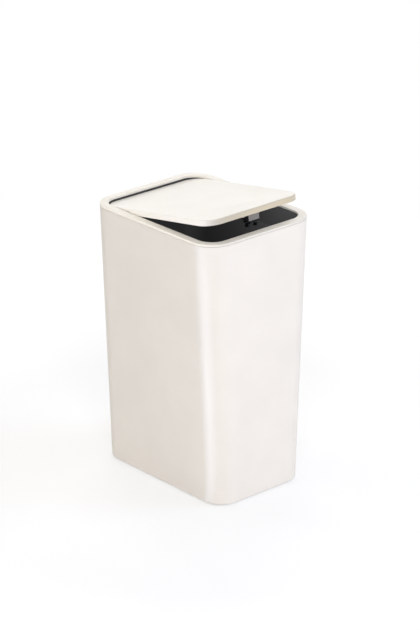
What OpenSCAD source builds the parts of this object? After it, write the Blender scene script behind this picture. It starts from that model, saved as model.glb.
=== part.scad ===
// Push-top countertop bin: a tapered outer shell, a bucket that lifts out of it, and a top frame
// whose lid is pressed to open. Width is along X, depth along Y, the front is at -Y and the lid's
// hinge at +Y. The base stands on Z = 0, and the lid is drawn ajar, as it stands just released.

/* [Overall size] */
// Height from the table to the top of the frame
overall_h = 300; // [260:1:340]
// Width at the top, across the front
top_w = 152.5; // [142:0.5:180]
// Depth at the top, front to back
top_d = 193; // [175:0.5:230]
// Corner radius at the top
top_r = 28; // [24:0.5:34]
// How far each side leans in at the base
side_lean = 14.5; // [6:0.5:18]
// How far the front and the back lean in at the base
end_lean = 0.4; // [0:0.1:4]
// Corner radius at the base
base_r = 24; // [18:0.5:30]
// Radius of the rounded bottom edge
base_edge = 2.5; // [1:0.1:4]

/* [Shell] */
// Wall of the outer shell
shell_wall = 2.6; // [2.2:0.1:3.4]
// Floor of the outer shell
shell_floor = 2.6; // [2:0.1:5]
// Wall left outside the step that the bucket hangs on
lip_wall = 1.3; // [1:0.1:1.6]
// Parting gap between the shell and the top frame
parting = 0.35; // [0.2:0.05:0.8]
// Radius of a rubber foot
foot_r = 8; // [5:0.5:10]
// How far a foot stands below the shell
foot_proud = 0.8; // [0.4:0.1:2]
// How deep a foot is let into the floor
foot_seat = 0.8; // [0.4:0.1:1.2]
// Distance from the base's edge to a foot's centre
foot_inset = 17; // [15:0.5:30]

/* [Bucket] */
// Clearance between the bucket and the shell
bucket_gap = 0.8; // [0.5:0.1:1.2]
// Wall of the bucket
bucket_wall = 1.5; // [1.2:0.1:2]
// Floor of the bucket
bucket_floor = 1.8; // [1.2:0.1:3]
// Thickness of the bucket's hanging rim
bucket_rim_t = 2; // [1.5:0.1:3]
// Clearance below the bucket
bucket_lift = 2.4; // [1:0.1:6]

/* [Top frame] */
// Width of the frame's top face
frame_w = 9.5; // [9:0.1:12]
// Thickness of the frame
frame_t = 2.2; // [1.8:0.1:3]
// Rounding of the frame's outer edge
frame_edge = 1.3; // [0.6:0.1:1.6]
// Rounding of the frame's inner edge
frame_inner_edge = 0.7; // [0.3:0.1:1]
// Distance from the frame's edge to its snap tabs
tab_inset = 5.7; // [5.6:0.1:6]
// Width of a snap tab
tab_w = 10; // [6:0.5:16]
// Length of a snap tab
tab_len = 6; // [5:0.1:9]
// Distance from the frame's front or back to the tabs on its sides
side_tab_back = 54.5; // [46:0.5:70]
// Distance from the frame's side to the tabs at its front and back
end_tab_in = 42.25; // [38:0.25:56]

/* [Carrier ring] */
// Distance from the frame's edge to the ring's flange
ring_inset = 5.4; // [5.3:0.05:5.6]
// Thickness of the ring's flange
ring_flange_t = 2.4; // [1.6:0.1:3]
// Wall of the ring's skirt
skirt_wall = 1.8; // [1.4:0.1:2.2]
// Depth of the skirt below the frame's top
skirt_drop = 27; // [22:0.5:34]

/* [Lid] */
// How far the lid stands open
lid_ajar = 9.2; // [0:0.1:60]
// Thickness of the lid at its edge
lid_t = 6.2; // [5:0.1:7]
// Top wall of the lid's cover
cover_t = 2.2; // [1.6:0.1:2.6]
// Side wall of the lid's cover
cover_wall = 2.2; // [1.6:0.1:3]
// Rounding of the lid's top edge
lid_edge = 1.2; // [0.4:0.1:1.6]
// Gap round the sides and the front of the lid
lid_gap = 0.8; // [0.6:0.1:1.5]
// Gap behind the lid
lid_rear_gap = 1.9; // [1.8:0.1:3]
// Thickness of the lid's liner
liner_t = 1.6; // [1.2:0.1:2]
// Gap round the liner
liner_gap = 0.15; // [0.1:0.05:0.4]
// Depth of the finger dish
dish_depth = 0.5; // [0.2:0.1:0.9]
// Distance from the lid's front edge to the finger dish
dish_back = 30; // [24:0.5:40]
// Half the distance between the dish's two round ends
dish_half = 12; // [4:0.5:20]

/* [Hinge] */
// Distance from the lid's rear edge to the hinge axis
hinge_inset = 24; // [20:0.5:30]
// Depth of the hinge axis below the lid's top
hinge_drop = 9.5; // [9.5:0.1:11]
// Radius of a hinge pin
pin_r = 1.25; // [1:0.05:1.4]
// Running clearance of pins in their bores
pin_play = 0.05; // [0.02:0.01:0.1]
// Radius of a lug on the lid
lug_r = 3.3; // [2.8:0.1:3.3]
// Width of a lug on the lid
lug_w = 4; // [3:0.1:6]
// Distance from the side of the opening to a lug's outer face
lug_inset = 12.75; // [12.75:0.05:18]
// Radius of a bearing boss on the ring
boss_r = 2.9; // [2.4:0.1:3]
// Width of a bearing boss on the ring
boss_w = 2; // [1:0.1:3]
// Radius of the spring wire
wire_r = 0.4; // [0.3:0.05:0.45]
// Mean radius of the hinge spring's curls
curl_r = 2.5; // [2.3:0.05:2.5]
// Full curls of a hinge spring
curls = 6; // [4:1:6]
// Step from one curl to the next
curl_pitch = 1.3; // [1.25:0.01:1.4]
// Length of the spring leg under the lid
lid_leg = 16; // [10:0.5:24]
// Length of the spring leg on the ring
ring_leg = 14; // [10:0.5:16]
// How steeply the ring's leg slopes down
leg_slope = 15; // [10:1:20]

/* [Latch] */
// Width of the latch housing
latch_w = 15; // [14:0.5:18]
// Depth of the latch housing, front to back
latch_d = 11; // [11:0.5:14]
// Height of the latch housing
latch_h = 7.8; // [7.8:0.1:11]
// Wall of the latch housing
latch_wall = 1.6; // [1.2:0.1:1.6]
// Distance from the lid's front edge to the housing
latch_back = 4.5; // [4.5:0.1:12]
// Half the distance between the jaw pins
jaw_half = 2.6; // [2.6:0.1:3]
// Depth of the jaw pins below the housing
jaw_drop = 1.6; // [1.6:0.1:2]
// Width of a jaw, front to back
jaw_w = 5; // [4:0.1:5]
// Angle that the jaws swing out from closed to open
jaw_swing = 27; // [24:0.5:30]
// Radius of a jaw pin
jaw_pin_r = 0.7; // [0.5:0.05:0.8]

/* [Strike] */
// Width of the strike's plate
strike_w = 18; // [16:0.5:24]
// Thickness of the strike's plate
strike_t = 2; // [1.5:0.1:2.5]
// Gap from the plunger to the strike's point with the lid closed
strike_gap = 1.6; // [1.5:0.1:3]
// Half width of the strike's arrow head
head_half = 1.8; // [1.5:0.1:1.9]
// Height of the strike's arrow head
head_h = 1.6; // [1.2:0.1:2]

/* [Fasteners and stops] */
// Shank radius of a screw
screw_r = 1; // [0.8:0.05:1.1]
// Head radius of a screw
screw_head_r = 1.9; // [1.7:0.1:2]
// Head height of a screw
screw_head_h = 1.2; // [1:0.1:1.4]
// Clearance round a screw's shank
screw_play = 0.05; // [0.02:0.01:0.1]
// Radius of a rubber bumper
bumper_r = 3; // [2:0.1:3.2]
// Height of a rubber bumper
bumper_h = 1.6; // [1.2:0.1:2]
// Distance from the side of the opening to a bumper
bumper_inset = 22.75; // [21:0.25:34]

/* [Hidden] */
$fn = 64;

// Small overlap that makes one cut reach past a face
over = 0.5;
// Gap left between flat faces that must not quite touch
hair = 0.3;
// Steps in a quarter of a round corner or edge
corner_steps = 14;
edge_steps = 4;

// Steps in a full turn of a coil
coil_steps = 8;

cream = [0.96, 0.94, 0.90];
black = [0.10, 0.10, 0.11];
grey = [0.62, 0.61, 0.60];
steel = [0.75, 0.76, 0.78];
rubber = [0.16, 0.16, 0.17];

// Heights of the main faces
frame_under = overall_h - frame_t;
shell_top = frame_under - parting;
ledge_z = frame_under - bucket_rim_t;
shell_base = foot_proud;
shell_inside = shell_base + shell_floor;
bucket_base = shell_inside + bucket_lift;

// Insets from the top outline, inwards
rim_inset = lip_wall + hair;
bucket_out = shell_wall + bucket_gap;
bucket_in = bucket_out + bucket_wall;
skirt_out = frame_w - skirt_wall;
skirt_bottom = overall_h - skirt_drop;

// The opening in the frame, and the closed lid in it
open_w = top_w - 2 * frame_w;
open_d = top_d - 2 * frame_w;
open_r = top_r - frame_w;
lid_w = open_w - 2 * lid_gap;
lid_d = open_d - lid_gap - lid_rear_gap;
lid_r = open_r - lid_gap;
lid_front = -open_d / 2 + lid_gap;
lid_y = lid_front + lid_d / 2;
lid_under = overall_h - lid_t;
liner_inset = cover_wall + liner_gap;
liner_top = lid_under + liner_t;
cover_under = overall_h - cover_t;

// The hinge axis runs along X through this point
hinge_y = lid_front + lid_d - hinge_inset;
hinge_z = overall_h - hinge_drop;
boss_x = open_w / 2 - boss_w;
lug_x = open_w / 2 - lug_inset;
bumper_x = open_w / 2 - bumper_inset;

// Heads of the hinge pins
pin_head_r = pin_r + 1.1;
pin_head_t = 0.9;

// Snap tabs: thickness, and the barb on each one
tab_t = 1;
barb_proud = 0.9;
barb_h = 1.4;
barb_up = 0.6;
barb_in = 1;

// Shelves for the springs' legs, and the bumpers' ledges
leg_shelf_d = 5;
leg_shelf_t = 3;
leg_shelf_in = 8.5;
ledge_margin = 1;
ledge_t = 3;

// Walls round screw holes, and the lid's screw places
post_wall = 1.7;
lid_screw_side = 13;
lid_screw_front = 14;
rear_screw_side = 26;
rear_screw_back = 9;

// The latch, in the closed lid
latch_y = lid_front + latch_back + latch_d / 2;
latch_z = lid_under - latch_h;
ear_w = 5.5;
ear_d = 6;
ear_t = 1.8;
latch_edge = 0.8;
latch_skin = 0.5;
seat_gap = 0.1;
cavity_w = latch_w - 2 * latch_wall;
cavity_d = latch_d - 2 * latch_wall;
jaw_wall = 0.7;
slot_gap = 0.3;
bracket_w = 9.2;
bracket_t = 0.8;
bracket_ear_t = 1.2;
bracket_ear_h = 3.2;
bracket_d = jaw_w + 2 * (slot_gap + bracket_ear_t);
pad_half = 1;
pad_t = 0.9;
pad_z = latch_z - 3.2;
blade_w = 1.8;
blade_d = 3;
slider_w = 6.4;
slider_low = 1.75;
slider_h = 3.4;
slider_front = -2.6;
slider_back = 1.6;
track_depth = 0.8;
track_up = 0.2;

// The strike, below the closed latch
strike_tip = pad_z - strike_gap;
strike_front = -open_d / 2;
strike_top = overall_h - 9;
strike_bottom = strike_tip - 14;
shelf_t = 2;
shelf_in = 3;
post_d = 4;
neck_half = 1.1;
tip_half = 0.6;
gusset = 7;
gusset_t = 1.8;
strike_screw_z = strike_top - 5;
strike_screw_x = 5.5;

// Closed lid parts are drawn in place and swung up about the hinge axis
module ajar() {
    translate([0, hinge_y, hinge_z])
        rotate([-lid_ajar, 0, 0])
            translate([0, -hinge_y, -hinge_z])
                children();
}

// A rounded section of the leaning body: width, depth, corner radius and height
function lean(z) = 1 - z / overall_h;
function section(z, inset) = [
    top_w - 2 * side_lean * lean(z) - 2 * inset,
    top_d - 2 * end_lean * lean(z) - 2 * inset,
    top_r + (base_r - top_r) * lean(z) - inset,
    z
];

// The points round one section, anticlockwise from above
function section_loop(s) = [
    for (q = [0:3], k = [0:corner_steps])
        let (
            a = 90 * (q + k / corner_steps),
            cx = (q == 0 || q == 3 ? 1 : -1) * (s[0] / 2 - s[2]),
            cy = (q < 2 ? 1 : -1) * (s[1] / 2 - s[2])
        )
        [cx + s[2] * cos(a), cy + s[2] * sin(a), s[3]]
];

// A solid skinned over rings of points that all hold the same number
module skin(rings) {
    n = len(rings[0]);
    last = len(rings) - 1;
    points = [for (ring = rings, p = ring) p];
    sides = [
        for (i = [0:last - 1], j = [0:n - 1], half = [0:1])
            let (
                a = i * n + j,
                b = i * n + (j + 1) % n
            )
            half == 0 ? [a, b + n, b] : [a, a + n, b + n]
    ];
    first_cap = [for (j = [0:n - 1]) j];
    last_cap = [for (j = [0:n - 1]) last * n + n - 1 - j];
    polyhedron(points, concat([first_cap], sides, [last_cap]));
}

// A leaning rounded solid through a list of sections
module leaning_solid(sections) {
    skin([for (s = sections) section_loop(s)]);
}

// Sections that round the bottom edge and then run straight up to the height z1
function rounded_foot(z0, z1, inset, r) = concat(
    [for (k = [0:edge_steps - 1])
        let (a = 90 * k / edge_steps)
        section(z0 + r * (1 - cos(a)), inset + r * (1 - sin(a)))],
    [section(z0 + r, inset), section(z1, inset)]
);

// A flat rounded rectangle
module rounded_plate(w, d, r, h) {
    linear_extrude(h)
        union() {
            square([w - 2 * r, d], center = true);
            square([w, d - 2 * r], center = true);
            for (x = [-1, 1], y = [-1, 1])
                translate([x * (w / 2 - r), y * (d / 2 - r)])
                    circle(r);
        }
}

// Sweeps a 2D profile round a rounded rectangle: the profile's x is measured outwards
// from the corner centres' lines, so x = r lies on the outline
module sweep_round(w, d, r) {
    for (q = [0:3])
        translate([
            (q == 0 || q == 3 ? 1 : -1) * (w / 2 - r),
            (q < 2 ? 1 : -1) * (d / 2 - r),
            0
        ])
            rotate([0, 0, 90 * q])
                rotate_extrude(angle = 90)
                    children();
    for (q = [0:3])
        let (run = q % 2 == 0 ? d - 2 * r : w - 2 * r, reach = q % 2 == 0 ? w / 2 - r : d / 2 - r)
            rotate([0, 0, 90 * q])
                translate([reach, run / 2, 0])
                    rotate([90, 0, 0])
                        linear_extrude(run)
                            children();
}

// What is cut from a square top-right corner at the origin plus (r, r) to round it
module corner_waste(r) {
    difference() {
        square(r + over);
        circle(r);
    }
}

// A bar's section with its two top corners rounded, from x0 to x1 and z0 to z1
module topped_bar(x0, x1, z0, z1, r_in, r_out) {
    difference() {
        translate([x0, z0])
            square([x1 - x0, z1 - z0]);
        translate([x1 - r_out, z1 - r_out])
            corner_waste(r_out);
        if (r_in > 0)
            translate([x0 + r_in, z1 - r_in])
                mirror([1, 0])
                    corner_waste(r_in);
    }
}

// A rod along X from x0 to x1
module rod_x(r, x0, x1) {
    translate([x0, 0, 0])
        rotate([0, 90, 0])
            cylinder(h = x1 - x0, r = r);
}

// A rod along Y from y0 to y1
module rod_y(r, y0, y1) {
    translate([0, y1, 0])
        rotate([90, 0, 0])
            cylinder(h = y1 - y0, r = r);
}

// A 2D outline in X and Z, extruded along Y and centred on y = 0
module upright(depth) {
    translate([0, depth / 2, 0])
        rotate([90, 0, 0])
            linear_extrude(depth)
                children();
}

// A pan-head screw with its seat at z = 0, its shank upwards and a cross recess below
cross_r = 0.6 * screw_head_r;
cross_w = 0.5;

module screw(shank) {
    difference() {
        union() {
            cylinder(h = shank, r = screw_r);
            translate([0, 0, -screw_head_h])
                cylinder(h = screw_head_h, r = screw_head_r);
        }
        for (a = [0, 90])
            rotate([0, 0, a])
                translate([-cross_r, -cross_w / 2, -screw_head_h - over])
                    cube([2 * cross_r, cross_w, over + screw_head_h / 2]);
    }
}

// Vector helpers for swept wires
function unit(v) = v / norm(v);
function path_tangent(p, i) = unit(p[min(i + 1, len(p) - 1)] - p[max(i - 1, 0)]);

// Rings of six points round a path, with their first side turned away from the given axis
function wire_rings(p, r, axis) = [
    for (i = [0:len(p) - 1])
        let (
            t = path_tangent(p, i),
            side = unit(cross(t, axis)),
            up = cross(t, side)
        )
        [for (k = [0:5]) p[i] + r * (cos(60 * k) * side + sin(60 * k) * up)]
];

// The least gap between parts of a wire that are more than half a curl apart
function wire_gap(p, r, skip) = min([
    for (i = [0:len(p) - 1], j = [i + skip:1:len(p) - 1])
        norm(p[i] - p[j]) - 2 * r
]);

// Outer casing, with a floor, a step for the bucket's rim and seats for the feet
module outer_shell() {
    color(cream)
        difference() {
            leaning_solid(rounded_foot(shell_base, shell_top, 0, base_edge));
            leaning_solid(rounded_foot(shell_inside, overall_h, shell_wall, base_edge));
            leaning_solid([section(ledge_z, lip_wall), section(overall_h, lip_wall)]);
            at_feet()
                cylinder(h = foot_proud + foot_seat, r = foot_r + pin_play);
        }
}

// The four places under the base where a foot sits
module at_feet() {
    for (x = [-1, 1], y = [-1, 1])
        translate([
            x * (top_w / 2 - side_lean - foot_inset),
            y * (top_d / 2 - end_lean - foot_inset),
            0
        ])
            children();
}

// Rubber feet, let into the floor
module non_slip_feet() {
    color(rubber)
        at_feet()
            cylinder(h = foot_proud + foot_seat, r = foot_r);
}

// Bucket that hangs by its rim on the shell's step
module inner_bucket() {
    color(black)
        difference() {
            union() {
                leaning_solid(rounded_foot(bucket_base, ledge_z + over, bucket_out, base_edge));
                leaning_solid([section(ledge_z, rim_inset), section(frame_under, rim_inset)]);
            }
            leaning_solid(rounded_foot(bucket_base + bucket_floor, overall_h, bucket_in, base_edge));
        }
}

// The places of the frame's snap tabs: each faces outwards along +X before it is turned
module at_tabs() {
    for (s = [0, 180], k = [-1, 1]) {
        rotate([0, 0, s])
            translate([top_w / 2, k * (top_d / 2 - side_tab_back), 0])
                children();
        rotate([0, 0, s + 90])
            translate([top_d / 2, k * (top_w / 2 - end_tab_in), 0])
                children();
    }
}

// Flat ring on top, with tabs that snap into the carrier ring
module top_frame() {
    color(cream)
        union() {
            sweep_round(top_w, top_d, top_r)
                topped_bar(
                    top_r - frame_w, top_r, frame_under, overall_h, frame_inner_edge, frame_edge
                );
            at_tabs() {
                translate([-tab_inset - tab_t, -tab_w / 2, frame_under - tab_len])
                    cube([tab_t, tab_w, tab_len + over]);
                translate([
                    -tab_inset - tab_t - barb_proud, -tab_w / 2 + barb_in,
                    frame_under - tab_len + barb_up
                ])
                    cube([tab_t, tab_w - 2 * barb_in, barb_h]);
            }
        }
}

// Black ring under the frame: its skirt lines the opening and carries the hinge and the stops
module carrier_ring() {
    color(black)
        difference() {
            union() {
                sweep_round(top_w, top_d, top_r) {
                    translate([top_r - frame_w, frame_under - ring_flange_t])
                        square([frame_w - ring_inset, ring_flange_t]);
                    translate([top_r - frame_w, skirt_bottom])
                        square([skirt_wall, frame_under - skirt_bottom]);
                }
                // Bearing bosses and the shelves under the springs' legs
                for (s = [0, 1])
                    mirror([s, 0, 0]) {
                        translate([0, hinge_y, hinge_z])
                            rod_x(boss_r, boss_x, open_w / 2 + over);
                        translate([
                            lug_x + leg_shelf_in, leg_seat_y - leg_shelf_d / 2,
                            leg_seat_z - leg_shelf_t
                        ])
                            cube([lug_inset - leg_shelf_in + over, leg_shelf_d, leg_shelf_t]);
                    }
                // Ledges for the two bumpers
                for (s = [-1, 1])
                    translate([
                        s * bumper_x - bumper_r - ledge_margin, strike_front - over,
                        bumper_seat - ledge_t
                    ])
                        cube([
                            2 * (bumper_r + ledge_margin),
                            2 * (bumper_r + ledge_margin) + over,
                            ledge_t
                        ]);
                // Pads behind the strike's screws
                for (s = [-1, 1])
                    translate([s * strike_screw_x, strike_front, strike_screw_z])
                        rod_y(screw_r + post_wall, -screw_pad, 0);
            }
            // Pin bores
            translate([0, hinge_y, hinge_z])
                rod_x(pin_r + pin_play, -top_w, top_w);
            // Room for the tabs, and the blind windows that their barbs snap into
            at_tabs() {
                translate([-tab_inset - tab_t - hair / 2, -tab_w / 2 - hair, skirt_bottom])
                    cube([frame_w, tab_w + 2 * hair, skirt_drop]);
                translate([
                    -tab_inset - tab_t - barb_proud - hair, -tab_w / 2 + barb_in - hair,
                    frame_under - tab_len + barb_up - hair
                ])
                    cube([frame_w, tab_w - 2 * (barb_in - hair), barb_h + 2 * hair]);
            }
            // Screw holes for the strike
            for (s = [-1, 1])
                translate([s * strike_screw_x, strike_front, strike_screw_z])
                    rod_y(screw_r + screw_play, -screw_pad - over, over);
        }
}

// Depth of the pads that the strike's screws bite into, the skirt's wall included
screw_pad = skirt_wall + 1;

// Top of the bumpers' ledges: the bumpers end just below the pressed lid
bumper_seat = lid_under - strike_gap - hair - bumper_h;

// Arrow-headed catch on the front of the ring
module strike() {
    color(black)
        difference() {
            union() {
                translate([-strike_w / 2, strike_front, strike_bottom])
                    cube([strike_w, strike_t, strike_top - strike_bottom]);
                translate([-strike_w / 2 + shelf_in, strike_front, strike_bottom])
                    cube([
                        strike_w - 2 * shelf_in, latch_y + post_d / 2 - strike_front, shelf_t
                    ]);
                translate([0, latch_y, 0])
                    upright(post_d)
                        polygon([
                            [-neck_half, strike_bottom + over],
                            [neck_half, strike_bottom + over],
                            [neck_half, strike_tip - head_h],
                            [head_half, strike_tip - head_h],
                            [tip_half, strike_tip],
                            [-tip_half, strike_tip],
                            [-head_half, strike_tip - head_h],
                            [-neck_half, strike_tip - head_h]
                        ]);
                // Gusset between the plate and the shelf
                translate([
                    -gusset_t / 2, strike_front + strike_t - over, strike_bottom + shelf_t - over
                ])
                    rotate([90, 0, 90])
                        linear_extrude(gusset_t)
                            polygon([[0, 0], [gusset, 0], [0, gusset]]);
            }
            for (s = [-1, 1])
                translate([s * strike_screw_x, strike_front, strike_screw_z])
                    rod_y(screw_r + screw_play, -over, strike_t + over);
        }
}

// Screws that hold the strike
module strike_screws() {
    color(steel)
        for (s = [-1, 1])
            translate([s * strike_screw_x, strike_front + strike_t, strike_screw_z])
                rotate([90, 0, 0])
                    screw(strike_t + screw_pad - hair);
}

// Steel pin with a head outside the skirt
module hinge_pin() {
    head_x = top_w / 2 - skirt_out;
    color(steel)
        translate([0, hinge_y, hinge_z])
            union() {
                rod_x(pin_r, lug_x - lug_w - 1, head_x + over);
                rod_x(pin_head_r, head_x, head_x + pin_head_t);
            }
}

module hinge_pin_right() {
    hinge_pin();
}

module hinge_pin_left() {
    mirror([1, 0, 0])
        hinge_pin();
}

// Path of the right hinge spring: a leg under the lid, the curls and a leg on the ring
spring_x = lug_x + 0.7;
spring_turn = 360 * curls + 180 - lid_ajar - leg_slope;
spring_steps = ceil(spring_turn * coil_steps / 360);
lid_leg_dir = [0, -cos(lid_ajar), sin(lid_ajar)];
ring_leg_dir = [0, -cos(leg_slope), -sin(leg_slope)];
function curl_point(a) = [
    spring_x + wire_r + curl_pitch * a / 360,
    hinge_y + curl_r * cos(90 - lid_ajar - a),
    hinge_z + curl_r * sin(90 - lid_ajar - a)
];
hinge_spring_path = concat(
    [for (d = [lid_leg, lid_leg / 2]) curl_point(0) + d * lid_leg_dir],
    [for (k = [0:spring_steps]) curl_point(spring_turn * k / spring_steps)],
    [for (d = [ring_leg / 2, ring_leg]) curl_point(spring_turn) + d * ring_leg_dir]
);

// Where the ring's leg lies on its shelf
leg_seat = ring_leg - 2.5;
leg_seat_y = hinge_y + curl_r * cos(-90 + leg_slope) + leg_seat * ring_leg_dir[1];
leg_seat_z = hinge_z + curl_r * sin(-90 + leg_slope) + (leg_seat + 2.5) * ring_leg_dir[2]
    - wire_r - hair / 3;

module hinge_spring() {
    color(steel)
        skin(wire_rings(hinge_spring_path, wire_r, [1, 0, 0]));
}

module hinge_spring_right() {
    hinge_spring();
}

module hinge_spring_left() {
    mirror([1, 0, 0])
        hinge_spring();
}

// Rubber stops for the front of the lid
module lid_bumpers() {
    color(rubber)
        for (s = [-1, 1])
            translate([s * bumper_x, strike_front + bumper_r + ledge_margin, bumper_seat])
                cylinder(h = bumper_h, r = bumper_r);
}

// The places of the screws between the liner and the cover
module at_lid_screws() {
    for (s = [-1, 1]) {
        translate([s * (lid_w / 2 - lid_screw_side), lid_front + lid_screw_front, 0])
            children();
        translate([s * (lid_w / 2 - lid_screw_side), lid_y, 0])
            children();
        translate([s * (lid_w / 2 - rear_screw_side), lid_front + lid_d - rear_screw_back, 0])
            children();
    }
}

// The places of the latch's two screws
module at_latch_screws() {
    for (s = [-1, 1])
        translate([s * (latch_w / 2 + ear_w / 2), latch_y, 0])
            children();
}

// Lid panel: a shallow tray turned over, with a finger dish near its front edge
dish_r = 60;

module lid_cover() {
    middle_w = lid_w - 2 * lid_r + 2 * over;
    middle_d = lid_d - 2 * lid_r + 2 * over;
    color(cream)
        ajar()
            difference() {
                union() {
                    translate([0, lid_y, 0])
                        sweep_round(lid_w, lid_d, lid_r) {
                            topped_bar(
                                lid_r - cover_wall, lid_r, lid_under, overall_h, 0, lid_edge
                            );
                            translate([0, cover_under])
                                square([lid_r - cover_wall + over, cover_t]);
                        }
                    translate([-middle_w / 2, lid_y - middle_d / 2, cover_under])
                        cube([middle_w, middle_d, cover_t]);
                    at_lid_screws()
                        translate([0, 0, liner_top])
                            cylinder(h = cover_under - liner_top + over, r = screw_r + post_wall);
                }
                translate([0, lid_front + dish_back, overall_h + dish_r - dish_depth]) {
                    rod_x(dish_r, -dish_half, dish_half);
                    for (s = [-1, 1])
                        translate([s * dish_half, 0, 0])
                            sphere(dish_r);
                }
                at_lid_screws()
                    translate([0, 0, liner_top - over])
                        cylinder(h = cover_under - liner_top + 2 * over, r = screw_r + screw_play);
            }
}

// Plate that closes the lid from below, with the hinge lugs and the latch's screw posts
module lid_liner() {
    color(cream)
        ajar()
            difference() {
                union() {
                    translate([0, lid_y, lid_under])
                        rounded_plate(
                            lid_w - 2 * liner_inset, lid_d - 2 * liner_inset,
                            lid_r - liner_inset, liner_t
                        );
                    for (s = [0, 1])
                        mirror([s, 0, 0])
                            translate([lug_x - lug_w, hinge_y, hinge_z]) {
                                rod_x(lug_r, 0, lug_w);
                                translate([0, -lug_r, 0])
                                    cube([lug_w, 2 * lug_r, lid_under - hinge_z + liner_t / 2]);
                            }
                    at_latch_screws()
                        translate([0, 0, lid_under])
                            cylinder(h = cover_under - lid_under - hair, r = screw_r + post_wall);
                }
                translate([0, hinge_y, hinge_z])
                    rod_x(pin_r + pin_play, -lug_x - over, lug_x + over);
                at_lid_screws()
                    translate([0, 0, lid_under - over])
                        cylinder(h = liner_t + 2 * over, r = screw_r + screw_play);
                at_latch_screws()
                    translate([0, 0, lid_under - over])
                        cylinder(h = cover_under - lid_under, r = screw_r + screw_play);
            }
}

// Screws that hold the liner to the cover
module lid_screws() {
    color(steel)
        ajar()
            at_lid_screws()
                translate([0, 0, lid_under])
                    screw(cover_under - lid_under);
}

// Slot for the plunger's blade through a wall of the latch
module blade_slot(wall) {
    translate([-blade_w / 2 - slot_gap, latch_y - blade_d / 2 - slot_gap, latch_z - over])
        cube([blade_w + 2 * slot_gap, blade_d + 2 * slot_gap, wall + 2 * over]);
}

// Housing of the push latch, open towards the liner, with two screw ears
module latch_housing() {
    color(grey)
        ajar()
            difference() {
                union() {
                    translate([0, latch_y, latch_z])
                        rounded_plate(latch_w, latch_d, latch_edge, latch_h);
                    translate([-latch_w / 2 - ear_w, latch_y - ear_d / 2, lid_under - ear_t])
                        cube([latch_w + 2 * ear_w, ear_d, ear_t]);
                }
                translate([-cavity_w / 2, latch_y - cavity_d / 2, latch_z + latch_wall])
                    cube([cavity_w, cavity_d, latch_h]);
                // Seat for the jaw bracket, and the hole for the plunger's blade
                translate([
                    -bracket_w / 2 - seat_gap, latch_y - bracket_d / 2 - seat_gap, latch_z - over
                ])
                    cube([bracket_w + 2 * seat_gap, bracket_d + 2 * seat_gap, bracket_t + over]);
                blade_slot(latch_wall);
                // Hole that holds the wire's upper end
                translate([0, latch_y, latch_z + wire_top])
                    rod_y(
                        latch_wire_r + pin_play, -latch_d / 2 + latch_skin, -cavity_d / 2 + over
                    );
                at_latch_screws()
                    translate([0, 0, lid_under - ear_t - over])
                        cylinder(h = ear_t + 2 * over, r = screw_r + screw_play);
            }
}

// Screws that hold the latch to the liner
module latch_screws() {
    color(steel)
        ajar()
            at_latch_screws()
                translate([0, 0, lid_under - ear_t])
                    screw(ear_t + cover_under - lid_under - over - hair);
}

// Bracket under the housing, with two ears that hold the jaw pins
module jaw_bracket() {
    color(black)
        ajar()
            difference() {
                union() {
                    translate([-bracket_w / 2, latch_y - bracket_d / 2, latch_z])
                        cube([bracket_w, bracket_d, bracket_t]);
                    for (s = [0, 1])
                        translate([
                            -bracket_w / 2,
                            latch_y + (s == 0 ? -bracket_d / 2 : bracket_d / 2 - bracket_ear_t),
                            latch_z - bracket_ear_h
                        ])
                            cube([bracket_w, bracket_ear_t, bracket_ear_h + bracket_t]);
                }
                blade_slot(bracket_t);
                at_jaws()
                    rod_y(jaw_pin_r + pin_play, -bracket_d, bracket_d);
            }
}

// The two jaw pins' places, with the latch's middle plane at y = 0
module at_jaws() {
    for (s = [-1, 1])
        translate([s * jaw_half, latch_y, latch_z - jaw_drop])
            children();
}

// Pins that the jaws swing on
module jaw_pins() {
    color(steel)
        ajar()
            at_jaws()
                rod_y(jaw_pin_r, -bracket_d / 2, bracket_d / 2);
}

// One open jaw, drawn about its pin: an arm outwards, and a leg with a barb, swung out from its
// closed place
module jaw() {
    difference() {
        union() {
            rod_y(jaw_pin_r + jaw_wall, -jaw_w / 2, jaw_w / 2);
            upright(jaw_w)
                polygon([
                    [-0.6, -1.2], [-0.3, 1.2], [5.6, 1.25], [6.2, 1.0], [6.2, -0.1], [1.2, -0.5]
                ]);
            rotate([0, -jaw_swing, 0])
                upright(jaw_w)
                    polygon([
                        [-0.9, -0.9], [2.0, -0.6], [2.4, -5.2], [1.5, -6.7], [-1.1, -6.0],
                        [-1.3, -5.2], [0, -5], [0.05, -1.6]
                    ]);
        }
        rod_y(jaw_pin_r + pin_play, -jaw_w, jaw_w);
    }
}

module jaw_right() {
    color(black)
        ajar()
            translate([jaw_half, latch_y, latch_z - jaw_drop])
                jaw();
}

module jaw_left() {
    color(black)
        ajar()
            mirror([1, 0, 0])
                translate([jaw_half, latch_y, latch_z - jaw_drop])
                    jaw();
}

// Slider that the strike pushes: a pad, a blade and a block with a heart-shaped track
module latch_plunger() {
    color(black)
        ajar()
            translate([0, latch_y, latch_z])
                difference() {
                    union() {
                        translate([-pad_half, -jaw_w / 2, pad_z - latch_z])
                            cube([2 * pad_half, jaw_w, pad_t]);
                        translate([-blade_w / 2, -blade_d / 2, pad_z - latch_z])
                            cube([blade_w, blade_d, slider_low + over - pad_z + latch_z]);
                        translate([-slider_w / 2, slider_front, slider_low])
                            cube([slider_w, slider_back - slider_front, slider_h]);
                    }
                    // The track round a heart-shaped island
                    translate([0, slider_front + track_depth, slider_low + track_up])
                        rotate([90, 0, 0])
                            linear_extrude(track_depth + over)
                                difference() {
                                    polygon([
                                        [-2.4, 0.4], [0, 0], [2.4, 0.4], [2.4, 2.7], [0, 3],
                                        [-2.4, 2.7]
                                    ]);
                                    polygon([
                                        [-1.2, 2.1], [-0.6, 2.35], [0, 2.15], [0.6, 2.35],
                                        [1.2, 2.1], [0, 1.7]
                                    ]);
                                }
                }
}

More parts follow.
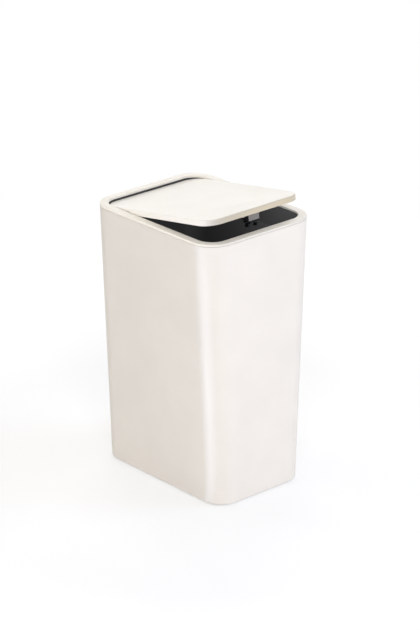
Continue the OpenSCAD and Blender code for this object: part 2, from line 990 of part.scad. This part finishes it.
// Coil spring above the slider, under the liner
latch_spring_r = 1.4;
latch_spring_wire = 0.25;
latch_spring_curls = 2;
latch_spring_low = slider_low + slider_h + latch_spring_wire + pin_play;
latch_spring_high = latch_h - latch_spring_wire - pin_play;
function latch_curl(a) = [
    latch_spring_r * cos(a),
    (slider_front + slider_back) / 2 + latch_spring_r * sin(a),
    latch_spring_low
        + (latch_spring_high - latch_spring_low) * a / (360 * latch_spring_curls)
];
latch_spring_path = concat(
    [latch_curl(0) + [0, -2 * latch_spring_wire, 0]],
    [for (k = [0:coil_steps * latch_spring_curls]) latch_curl(360 * k / coil_steps)],
    [latch_curl(360 * latch_spring_curls) + [0, 2 * latch_spring_wire, 0]]
);

module latch_spring() {
    color(steel)
        ajar()
            translate([0, latch_y, latch_z])
                skin(wire_rings(latch_spring_path, latch_spring_wire, [0, 0, 1]));
}

// Bent wire whose lower end follows the track
latch_wire_r = 0.3;
wire_low = slider_low + track_up + 1.25;
wire_top = latch_h - 1.6;
wire_y = slider_front - 0.7;

module latch_wire() {
    color(steel)
        ajar()
            translate([0, latch_y, latch_z])
                union() {
                    translate([0, wire_y, wire_low])
                        cylinder(h = wire_top - wire_low, r = latch_wire_r);
                    for (z = [wire_low, wire_top])
                        translate([0, wire_y, z])
                            sphere(latch_wire_r);
                    translate([0, 0, wire_low])
                        rod_y(latch_wire_r, wire_y, slider_front + track_depth - hair / 2);
                    translate([0, 0, wire_top])
                        rod_y(latch_wire_r, -latch_d / 2 + latch_skin + hair / 2, wire_y);
                }
}

half_curl = coil_steps / 2 + 1;
echo(least_gap_of_a_hinge_spring = wire_gap(hinge_spring_path, wire_r, half_curl));
echo(least_gap_of_the_latch_spring = wire_gap(latch_spring_path, latch_spring_wire, half_curl));

outer_shell();
non_slip_feet();
inner_bucket();
top_frame();
carrier_ring();
strike();
strike_screws();
hinge_pin_left();
hinge_pin_right();
hinge_spring_left();
hinge_spring_right();
lid_bumpers();
lid_cover();
lid_liner();
lid_screws();
latch_housing();
latch_screws();
latch_plunger();
latch_spring();
latch_wire();
jaw_bracket();
jaw_left();
jaw_right();
jaw_pins();
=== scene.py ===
# Looks for the push top countertop bin: materials, finer springs, studio and camera.
import math

import bpy
from mathutils import Matrix, Vector


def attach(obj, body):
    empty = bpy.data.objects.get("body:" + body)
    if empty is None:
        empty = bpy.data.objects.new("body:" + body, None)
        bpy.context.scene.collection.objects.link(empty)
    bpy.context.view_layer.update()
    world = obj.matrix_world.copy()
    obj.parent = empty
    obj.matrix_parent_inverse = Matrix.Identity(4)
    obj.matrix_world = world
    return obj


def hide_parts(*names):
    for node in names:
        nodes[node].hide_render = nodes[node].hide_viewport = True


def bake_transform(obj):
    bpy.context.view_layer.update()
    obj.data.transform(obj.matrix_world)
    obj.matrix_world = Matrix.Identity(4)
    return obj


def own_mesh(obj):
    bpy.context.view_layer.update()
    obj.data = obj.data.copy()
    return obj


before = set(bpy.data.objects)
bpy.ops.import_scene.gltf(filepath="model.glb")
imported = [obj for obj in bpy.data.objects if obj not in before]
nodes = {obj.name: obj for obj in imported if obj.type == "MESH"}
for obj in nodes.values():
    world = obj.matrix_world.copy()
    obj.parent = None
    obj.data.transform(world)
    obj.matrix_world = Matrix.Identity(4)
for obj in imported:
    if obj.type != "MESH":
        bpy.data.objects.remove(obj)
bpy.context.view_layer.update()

MM = 0.001


# Shader building blocks

def new_material(name):
    """An empty material, its node tree and its Principled shader."""
    material = bpy.data.materials.new(name)
    material.use_nodes = True
    tree = material.node_tree
    shader = tree.nodes["Principled BSDF"]
    return material, tree, shader


def object_coordinates(tree):
    return tree.nodes.new("ShaderNodeTexCoord").outputs["Object"]


def noise(tree, vector, size, detail=3.0, roughness=0.5):
    """Noise whose blobs are about size metres wide."""
    node = tree.nodes.new("ShaderNodeTexNoise")
    node.inputs["Scale"].default_value = 1.0 / size
    node.inputs["Detail"].default_value = detail
    node.inputs["Roughness"].default_value = roughness
    tree.links.new(vector, node.inputs["Vector"])
    return node.outputs["Fac"]


def ramp(tree, factor, low, high, start=0.35, end=0.65):
    """A number from low to high as factor goes from start to end."""
    node = tree.nodes.new("ShaderNodeMapRange")
    node.inputs["From Min"].default_value = start
    node.inputs["From Max"].default_value = end
    node.inputs["To Min"].default_value = low
    node.inputs["To Max"].default_value = high
    tree.links.new(factor, node.inputs["Value"])
    return node.outputs["Result"]


def blend_colours(tree, factor, colour_a, colour_b):
    node = tree.nodes.new("ShaderNodeMix")
    node.data_type = "RGBA"
    node.inputs["A"].default_value = (*colour_a, 1)
    node.inputs["B"].default_value = (*colour_b, 1)
    tree.links.new(factor, node.inputs["Factor"])
    return node.outputs["Result"]


def bump(tree, height, distance, normal=None, strength=1.0):
    node = tree.nodes.new("ShaderNodeBump")
    node.inputs["Strength"].default_value = strength
    node.inputs["Distance"].default_value = distance
    tree.links.new(height, node.inputs["Height"])
    if normal is not None:
        tree.links.new(normal, node.inputs["Normal"])
    return node.outputs["Normal"]


def shade(colour, factor):
    return tuple(min(1.0, channel * factor) for channel in colour)


def moulded_plastic(name, colour, roughness, grain, depth, waves=4e-5, specular=0.5):
    """Injection-moulded plastic: fine mould grain, faint flow waves and handling marks."""
    material, tree, shader = new_material(name)
    place = object_coordinates(tree)
    cloud = noise(tree, place, 45 * MM, 4)
    tint = blend_colours(tree, ramp(tree, cloud, 0, 1), shade(colour, 0.985), shade(colour, 1.015))
    tree.links.new(tint, shader.inputs["Base Color"])
    smear = noise(tree, place, 9 * MM, 6, 0.6)
    gloss = ramp(tree, smear, roughness * 0.9, roughness * 1.12)
    tree.links.new(gloss, shader.inputs["Roughness"])
    shader.inputs["Specular IOR Level"].default_value = specular
    broad = bump(tree, noise(tree, place, 60 * MM, 1), waves)
    fine = bump(tree, noise(tree, place, grain, 2), depth, broad)
    tree.links.new(fine, shader.inputs["Normal"])
    return material


def paint_dark_shaded_sides(material, colour):
    """Gives the faces that look along the object's X axis another colour than the rest; on the
    latch this near black is partly its dark body and partly painted shade.
    """
    tree = material.node_tree
    shader = tree.nodes["Principled BSDF"]
    plain = shader.inputs["Base Color"].links[0].from_socket
    place = tree.nodes.new("ShaderNodeTexCoord")
    parts = tree.nodes.new("ShaderNodeSeparateXYZ")
    tree.links.new(place.outputs["Normal"], parts.inputs[0])
    sideways = tree.nodes.new("ShaderNodeMath")
    sideways.operation = "ABSOLUTE"
    tree.links.new(parts.outputs["X"], sideways.inputs[0])
    facing_x = ramp(tree, sideways.outputs[0], 0, 1, 0.75, 0.8)
    two_tone_and_shade = blend_colours(tree, facing_x, colour, colour)
    tree.links.new(plain, two_tone_and_shade.node.inputs["A"])
    tree.links.new(two_tone_and_shade, shader.inputs["Base Color"])
    return material


def turned_steel(name, colour, roughness, grain):
    """Plain steel with fine drawn or turned lines and a faint stain."""
    material, tree, shader = new_material(name)
    place = object_coordinates(tree)
    stain = noise(tree, place, 2 * MM, 5, 0.65)
    tint = blend_colours(tree, ramp(tree, stain, 0, 1), shade(colour, 0.88), shade(colour, 1.05))
    tree.links.new(tint, shader.inputs["Base Color"])
    shader.inputs["Metallic"].default_value = 1.0
    lines = noise(tree, place, grain, 3)
    tree.links.new(ramp(tree, lines, roughness * 0.8, roughness * 1.3), shader.inputs["Roughness"])
    tree.links.new(bump(tree, lines, 3e-6), shader.inputs["Normal"])
    return material


def soft_rubber(name, colour):
    """Matt rubber with a fine speckle and dust in its grain."""
    material, tree, shader = new_material(name)
    place = object_coordinates(tree)
    dust = noise(tree, place, 1.2 * MM, 6, 0.7)
    tint = blend_colours(tree, ramp(tree, dust, 0, 1, 0.45, 0.75), colour, shade(colour, 1.9))
    tree.links.new(tint, shader.inputs["Base Color"])
    tree.links.new(ramp(tree, dust, 0.7, 0.85), shader.inputs["Roughness"])
    tree.links.new(bump(tree, noise(tree, place, 0.5 * MM, 3), 2e-5), shader.inputs["Normal"])
    return material


SHELL_CREAM = (0.86, 0.80, 0.72)
# The frame's cream is the shell's cream made about 8 % darker: painted shade on the rim.
FRAME_CREAM_SHADED = (0.79, 0.745, 0.665)
# The lid's cream is lighter and whiter than the shell's: painted light on the lid; the liner
# shares it.
LID_CREAM_LIT = (0.88, 0.85, 0.80)
INNER_BLACK = (0.050, 0.050, 0.051)
RING_BLACK = (0.034, 0.034, 0.035)
JAW_BLACK = (0.005, 0.005, 0.005)
LATCH_GREY = (0.175, 0.158, 0.140)
STEEL = (0.62, 0.62, 0.63)
DARK_STEEL = (0.02, 0.02, 0.022)
RUBBER_BLACK = (0.018, 0.018, 0.019)

shell_plastic = moulded_plastic("shell_plastic", SHELL_CREAM, 0.42, 0.35 * MM, 6e-6)
frame_plastic = moulded_plastic("frame_plastic", FRAME_CREAM_SHADED, 0.38, 0.5 * MM, 3e-6)
lid_plastic = moulded_plastic("lid_plastic", LID_CREAM_LIT, 0.33, 0.5 * MM, 3e-6)
liner_plastic = moulded_plastic("liner_plastic", LID_CREAM_LIT, 0.45, 0.35 * MM, 8e-6)
bucket_plastic = moulded_plastic("bucket_plastic", INNER_BLACK, 0.45, 0.4 * MM, 8e-6, specular=0.3)
ring_plastic = moulded_plastic("ring_plastic", RING_BLACK, 0.45, 0.3 * MM, 8e-6, specular=0.3)
strike_plastic = moulded_plastic("strike_plastic", RING_BLACK, 0.34, 0.3 * MM, 4e-6)
latch_plastic = moulded_plastic("latch_plastic", LATCH_GREY, 0.40, 0.25 * MM, 5e-6)
# The latch's sides are painted near black: partly its dark body, partly painted shade.
latch_plastic = paint_dark_shaded_sides(latch_plastic, JAW_BLACK)
jaw_plastic = moulded_plastic("jaw_plastic", JAW_BLACK, 0.5, 0.2 * MM, 4e-6, specular=0.12)
pin_steel = turned_steel("pin_steel", STEEL, 0.25, 0.15 * MM)
screw_steel = turned_steel("screw_steel", STEEL, 0.30, 0.2 * MM)
spring_steel = turned_steel("spring_steel", STEEL, 0.22, 0.12 * MM)
dark_steel = turned_steel("dark_steel", DARK_STEEL, 0.4, 0.15 * MM)
rubber = soft_rubber("rubber", RUBBER_BLACK)

MATERIALS = {
    "outer_shell": shell_plastic,
    "non_slip_feet": rubber,
    "inner_bucket": bucket_plastic,
    "top_frame": frame_plastic,
    "carrier_ring": ring_plastic,
    "strike": strike_plastic,
    "strike_screws": screw_steel,
    "hinge_pin_left": pin_steel,
    "hinge_pin_right": pin_steel,
    "hinge_spring_left": spring_steel,
    "hinge_spring_right": spring_steel,
    "lid_bumpers": rubber,
    "lid_cover": lid_plastic,
    "lid_liner": liner_plastic,
    "lid_screws": screw_steel,
    "latch_housing": latch_plastic,
    "latch_screws": screw_steel,
    "latch_plunger": jaw_plastic,
    "latch_spring": spring_steel,
    "latch_wire": spring_steel,
    "jaw_bracket": jaw_plastic,
    "jaw_left": jaw_plastic,
    "jaw_right": jaw_plastic,
    "jaw_pins": dark_steel,
}


def smoothing_group(name, angle):
    """A node group that joins split corners and shades edges under the angle smooth."""
    group = bpy.data.node_groups.new(name, "GeometryNodeTree")
    group.interface.new_socket("Geometry", in_out="INPUT", socket_type="NodeSocketGeometry")
    group.interface.new_socket("Geometry", in_out="OUTPUT", socket_type="NodeSocketGeometry")
    start = group.nodes.new("NodeGroupInput")
    merge = group.nodes.new("GeometryNodeMergeByDistance")
    merge.inputs["Distance"].default_value = 0.002 * MM
    faces = group.nodes.new("GeometryNodeSetShadeSmooth")
    edges = group.nodes.new("GeometryNodeSetShadeSmooth")
    edges.domain = "EDGE"
    bend = group.nodes.new("GeometryNodeInputMeshEdgeAngle")
    compare = group.nodes.new("FunctionNodeCompare")
    compare.operation = "LESS_THAN"
    compare.inputs["B"].default_value = angle
    end = group.nodes.new("NodeGroupOutput")
    link = group.links.new
    link(start.outputs[0], merge.inputs["Geometry"])
    link(merge.outputs["Geometry"], faces.inputs["Geometry"])
    link(faces.outputs["Geometry"], edges.inputs["Geometry"])
    link(bend.outputs["Unsigned Angle"], compare.inputs["A"])
    link(compare.outputs["Result"], edges.inputs["Shade Smooth"])
    link(edges.outputs["Geometry"], end.inputs[0])
    return group


SMOOTH_ANGLE = math.radians(24)
BEVEL_ANGLE = math.radians(40)
smooth_group = smoothing_group("join_and_smooth", SMOOTH_ANGLE)


def dress(obj, material, edge):
    """Gives a CAD node its material, smooth shading and edges rounded by edge metres."""
    obj.data.materials.clear()
    obj.data.materials.append(material)
    smooth = obj.modifiers.new("smooth", "NODES")
    smooth.node_group = smooth_group
    if edge:
        soften = obj.modifiers.new("edges", "BEVEL")
        soften.width = edge
        soften.segments = 2
        soften.limit_method = "ANGLE"
        soften.angle_limit = BEVEL_ANGLE
        soften.use_clamp_overlap = False
        soften.harden_normals = True
        soften.miter_outer = "MITER_ARC"


# How far each node's sharp edges are rounded; nodes that aren't named keep theirs
EDGES = {
    "outer_shell": 0.3 * MM,
    "inner_bucket": 0.3 * MM,
    "non_slip_feet": 0.3 * MM,
    "lid_bumpers": 0.3 * MM,
    "top_frame": 0.15 * MM,
    "lid_cover": 0.2 * MM,
    "strike": 0.12 * MM,
    "jaw_left": 0.1 * MM,
    "jaw_right": 0.1 * MM,
    "jaw_bracket": 0.1 * MM,
    "latch_plunger": 0.1 * MM,
}
for name, obj in nodes.items():
    dress(obj, MATERIALS[name], EDGES.get(name, 0))


# Round spring wires instead of the six-sided ones

def wire_mesh(name, path, radius, material, sides=14):
    """A round wire of the given radius along a path of points, with flat ends."""
    points = [Vector(point) for point in path]
    last = len(points) - 1
    tangents = [
        (points[min(i + 1, last)] - points[max(i - 1, 0)]).normalized() for i in range(last + 1)
    ]
    side = tangents[0].orthogonal().normalized()
    vertices = []
    for point, tangent in zip(points, tangents):
        side = (side - tangent * side.dot(tangent)).normalized()
        other = tangent.cross(side)
        for k in range(sides):
            turn = 2 * math.pi * k / sides
            vertices.append(point + radius * (math.cos(turn) * side + math.sin(turn) * other))
    faces = []
    for ring in range(0, last * sides, sides):
        for k in range(sides):
            after = (k + 1) % sides
            faces.append((ring + k, ring + after, ring + sides + after, ring + sides + k))
    faces.append(tuple(reversed(range(sides))))
    faces.append(tuple(last * sides + k for k in range(sides)))
    mesh = bpy.data.meshes.new(name)
    mesh.from_pydata(vertices, [], faces)
    mesh.materials.append(material)
    for polygon in mesh.polygons:
        polygon.use_smooth = len(polygon.vertices) == 4
    obj = bpy.data.objects.new(name, mesh)
    bpy.context.scene.collection.objects.link(obj)
    return obj


def spaced(start, end, count):
    """Points from start to end, both included."""
    return [start.lerp(end, i / count) for i in range(count + 1)]


# The hinge's axis, the lid's tilt and the springs, as the part has them
HINGE_Y = 61.1 * MM
HINGE_Z = 290.5 * MM
LID_TILT = math.radians(9.2)
RING_SLOPE = math.radians(15)
SPRING_X = 55.1 * MM
CURL_RADIUS = 2.5 * MM
CURL_PITCH = 1.3 * MM
CURL_STEPS = 260
LEG_STEPS = 12
LID_LEG = 16 * MM
RING_LEG = 14 * MM
HINGE_WIRE = 0.4 * MM
SPRING_TURN = 2 * math.pi * 6.5 - LID_TILT - RING_SLOPE


def hinge_spring(side):
    """A torsion spring, built with its lid leg at the lid's present tilt and its other leg along
    the ring; on the real hinge the lid leg turns with the lid and the other leg stays.
    """
    def curl(turn):
        angle = math.pi / 2 - LID_TILT - turn
        return Vector((
            SPRING_X + CURL_PITCH * turn / (2 * math.pi),
            HINGE_Y + CURL_RADIUS * math.cos(angle),
            HINGE_Z + CURL_RADIUS * math.sin(angle),
        ))

    to_lid = Vector((0, -math.cos(LID_TILT), math.sin(LID_TILT)))
    to_ring = Vector((0, -math.cos(RING_SLOPE), -math.sin(RING_SLOPE)))
    path = spaced(curl(0) + LID_LEG * to_lid, curl(0), LEG_STEPS)[:-1]
    path += [curl(SPRING_TURN * i / CURL_STEPS) for i in range(CURL_STEPS + 1)]
    path += spaced(curl(SPRING_TURN), curl(SPRING_TURN) + RING_LEG * to_ring, LEG_STEPS)[1:]
    path = [Vector((side * point.x, point.y, point.z)) for point in path]
    name = "round_spring_right" if side > 0 else "round_spring_left"
    obj = wire_mesh(name, path, HINGE_WIRE, spring_steel)
    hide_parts("hinge_spring_right" if side > 0 else "hinge_spring_left")
    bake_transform(obj)


hinge_spring(1)
hinge_spring(-1)


def latch_coil():
    """The latch's coil spring in one fixed shape; the real spring flattens as the slider is pushed
    up.
    """
    radius, wire, curls, steps = 1.4 * MM, 0.25 * MM, 2, 72
    low, high = 5.45 * MM, 7.5 * MM
    base = Vector((0, -76.2 * MM, 286 * MM))
    middle_y = -0.5 * MM

    def curl(turn):
        return Vector((
            radius * math.cos(turn), middle_y + radius * math.sin(turn),
            low + (high - low) * turn / (2 * math.pi * curls),
        ))

    whole = 2 * math.pi * curls
    path = spaced(curl(0) - Vector((0, 2 * wire, 0)), curl(0), 3)[:-1]
    path += [curl(whole * i / steps) for i in range(steps + 1)]
    path += spaced(curl(whole), curl(whole) + Vector((0, 2 * wire, 0)), 3)[1:]
    hinge = Vector((0, HINGE_Y, HINGE_Z))
    swing = Matrix.Rotation(-LID_TILT, 4, "X")
    path = [hinge + swing @ (base + point - hinge) for point in path]
    obj = wire_mesh("round_latch_spring", path, wire, spring_steel, sides=10)
    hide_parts("latch_spring")
    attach(obj, "lid")
    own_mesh(obj)


latch_coil()


# Studio: pale floor, white surroundings, soft lamps

def camera_or_gloss(tree):
    """1 for what the camera sees, directly or mirrored, and 0 for the light that things get."""
    path = tree.nodes.new("ShaderNodeLightPath")
    seen = path.outputs["Is Camera Ray"]
    for ray in ("Is Glossy Ray", "Is Transmission Ray"):
        either = tree.nodes.new("ShaderNodeMath")
        either.operation = "MAXIMUM"
        tree.links.new(seen, either.inputs[0])
        tree.links.new(path.outputs[ray], either.inputs[1])
        seen = either.outputs[0]
    return seen


# Between these distances from the bin, in metres, the floor fades to white
FADE_START = 0.3
FADE_END = 0.9


def floor_material():
    """Pale floor: it keeps the shadow near the bin and fades to white further out."""
    material, tree, shader = new_material("floor")
    shader.inputs["Base Color"].default_value = (0.92, 0.92, 0.92, 1)
    shader.inputs["Roughness"].default_value = 0.9
    shader.inputs["Specular IOR Level"].default_value = 0.0
    distance = tree.nodes.new("ShaderNodeVectorMath")
    distance.operation = "LENGTH"
    tree.links.new(object_coordinates(tree), distance.inputs[0])
    far = distance.outputs["Value"]
    white = tree.nodes.new("ShaderNodeEmission")
    glow = ramp(tree, far, 1.4, 1.0, FADE_START, FADE_END)
    tree.links.new(glow, white.inputs["Strength"])
    share = tree.nodes.new("ShaderNodeMath")
    share.operation = "MULTIPLY"
    tree.links.new(camera_or_gloss(tree), share.inputs[0])
    tree.links.new(ramp(tree, far, 0.3, 1.0, FADE_START, FADE_END), share.inputs[1])
    mix = tree.nodes.new("ShaderNodeMixShader")
    tree.links.new(share.outputs[0], mix.inputs["Fac"])
    tree.links.new(shader.outputs[0], mix.inputs[1])
    tree.links.new(white.outputs[0], mix.inputs[2])
    tree.links.new(mix.outputs[0], tree.nodes["Material Output"].inputs["Surface"])
    return material


bpy.ops.mesh.primitive_plane_add(size=12, location=(0, 0, 0))
floor = bpy.context.object
floor.name = "floor"
floor.data.materials.append(floor_material())


def add_world(strength):
    """Even light, seen as white by the camera and by gloss."""
    world = bpy.data.worlds.new("studio")
    bpy.context.scene.world = world
    world.use_nodes = True
    tree = world.node_tree
    light = tree.nodes["Background"]
    light.inputs["Color"].default_value = (1, 0.96, 0.89, 1)
    light.inputs["Strength"].default_value = strength
    white = tree.nodes.new("ShaderNodeBackground")
    white.inputs["Color"].default_value = (1, 1, 1, 1)
    white.inputs["Strength"].default_value = 1.0
    mix = tree.nodes.new("ShaderNodeMixShader")
    tree.links.new(camera_or_gloss(tree), mix.inputs["Fac"])
    tree.links.new(light.outputs[0], mix.inputs[1])
    tree.links.new(white.outputs[0], mix.inputs[2])
    tree.links.new(mix.outputs[0], tree.nodes["World Output"].inputs["Surface"])


add_world(0.33)


def collection_of(name, objects):
    """A collection for light linking, which isn't part of the scene's own tree."""
    group = bpy.data.collections.new(name)
    for obj in objects:
        group.objects.link(obj)
    return group


def area_lamp(name, place, target, width, height, watts, colour, lit=None, shaded_by=None):
    """A softbox; lit and shaded_by limit what it lights and what casts its shadows."""
    data = bpy.data.lights.new(name, "AREA")
    data.shape = "RECTANGLE"
    data.size = width
    data.size_y = height
    data.energy = watts
    data.color = colour
    lamp = bpy.data.objects.new(name, data)
    bpy.context.scene.collection.objects.link(lamp)
    lamp.location = place
    lamp.rotation_euler = (Vector(target) - Vector(place)).to_track_quat("-Z", "Y").to_euler()
    lamp.visible_camera = False
    if lit is not None:
        lamp.light_linking.receiver_collection = collection_of(name + "_lights", lit)
    if shaded_by is not None:
        lamp.light_linking.blocker_collection = collection_of(name + "_blockers", shaded_by)


MIDDLE = (0, 0, 0.16)
TOP = (0, 0, 0.3)
WHITE = (1, 1, 1)
LID = [nodes["lid_cover"]]
FRAME = [nodes["top_frame"]]
INSIDE = [nodes[name] for name in ("inner_bucket", "carrier_ring", "strike")]
BODY = [obj for obj in bpy.context.scene.objects if obj.type == "MESH" and obj not in LID]

# Name, place, target, width, height, watts, colour, what it lights and what shades it
STUDIO = [
    ("key", (-1.455, -1.80, 0.80), (0, 0, 0.12), 1.2, 1.2, 27.3, (0.98, 1.015, 1.12), BODY),
    ("front", (1.7, -1.4, 0.8), MIDDLE, 1.2, 1.2, 15, (0.86, 0.99, 1.29), BODY),
    ("left", (-1.9, 1.2, 0.8), MIDDLE, 1.4, 1.2, 1.4, (1, 0.90, 0.66)),
    ("top", (0.0, 0.2, 2.4), MIDDLE, 1.4, 1.4, 13, WHITE),
    ("back", (1.5, 1.7, 1.35), TOP, 2.0, 1.6, 14, (1, 1, 1.01)),
    ("back_left", (-0.7, 1.65, 1.6), TOP, 0.8, 0.8, 3, WHITE),
    ("rim_left", (-2.2, 0.6, 0.5), TOP, 1.0, 0.4, 14, (1, 0.99, 0.97), FRAME),
    ("lid_left", (-2.0, 0.1, 0.45), TOP, 1.0, 0.5, 19, (1, 1, 1.02), LID),
    ("lid_front", (0.22, -0.32, 0.30), (0.03, -0.08, 0.3), 0.1, 0.1, 0.15, (1, 0.72, 0.2), LID),
    (
        "inside", (-0.02, -0.082, 0.308), (0.07, 0.02, 0.25), 0.02, 0.01, 0.13, WHITE,
        INSIDE, INSIDE,
    ),
]
for lamp in STUDIO:
    area_lamp(*lamp)


def gloss_fan(corner, reach, left, right, strength):
    """A bright fan on the floor that only gloss sees: the near corner shows it as a band.

    It spreads from corner, reach metres long, between two turns in degrees.
    """
    material, tree, _ = new_material("gloss_fan")
    glow = tree.nodes.new("ShaderNodeEmission")
    glow.inputs["Color"].default_value = (0.84, 0.98, 1.28, 1)
    away = tree.nodes.new("ShaderNodeVectorMath")
    away.operation = "DISTANCE"
    away.inputs[1].default_value = corner
    tree.links.new(object_coordinates(tree), away.inputs[0])
    fade = ramp(tree, away.outputs["Value"], 0.55 * strength, strength, 0.02, 0.16)
    tree.links.new(fade, glow.inputs["Strength"])
    tree.links.new(glow.outputs[0], tree.nodes["Material Output"].inputs["Surface"])
    rim = []
    for degrees in (right, (left + right) / 2, left):
        turn = math.radians(degrees)
        x, y, z = corner
        rim.append((x - reach * math.cos(turn), y - reach * math.sin(turn), z))
    mesh = bpy.data.meshes.new("gloss_fan")
    mesh.from_pydata([corner] + rim, [], [(0, 1, 2), (0, 2, 3)])
    mesh.materials.append(material)
    fan = bpy.data.objects.new("gloss_fan", mesh)
    bpy.context.scene.collection.objects.link(fan)
    fan.visible_camera = False
    fan.visible_diffuse = False
    fan.visible_transmission = False
    fan.visible_volume_scatter = False
    fan.visible_shadow = False


gloss_fan((-0.045, -0.075, 0.004), 0.95, -14, 18, 3.8)


def add_camera():
    """Camera at the photograph's viewing angle, far away with a long lens."""
    azimuth = math.radians(-41.75)
    elevation = math.radians(22.27)
    distance = 3.156
    back = Vector((
        math.sin(azimuth) * math.cos(elevation),
        -math.cos(azimuth) * math.cos(elevation),
        math.sin(elevation),
    ))
    right = Vector((math.cos(azimuth), math.sin(azimuth), 0))
    up = back.cross(right)
    data = bpy.data.cameras.new("camera")
    data.lens = 167.5
    data.sensor_width = 36
    data.clip_start = 0.05
    data.clip_end = 50
    camera = bpy.data.objects.new("camera", data)
    bpy.context.scene.collection.objects.link(camera)
    aim = Vector((0, 0, 0.150)) + right * 0.00765 + up * 0.0255
    camera.location = aim + back * distance
    camera.rotation_euler = (-back).to_track_quat("-Z", "Y").to_euler()
    bpy.context.scene.camera = camera


add_camera()
bpy.context.scene.view_settings.view_transform = "Standard"
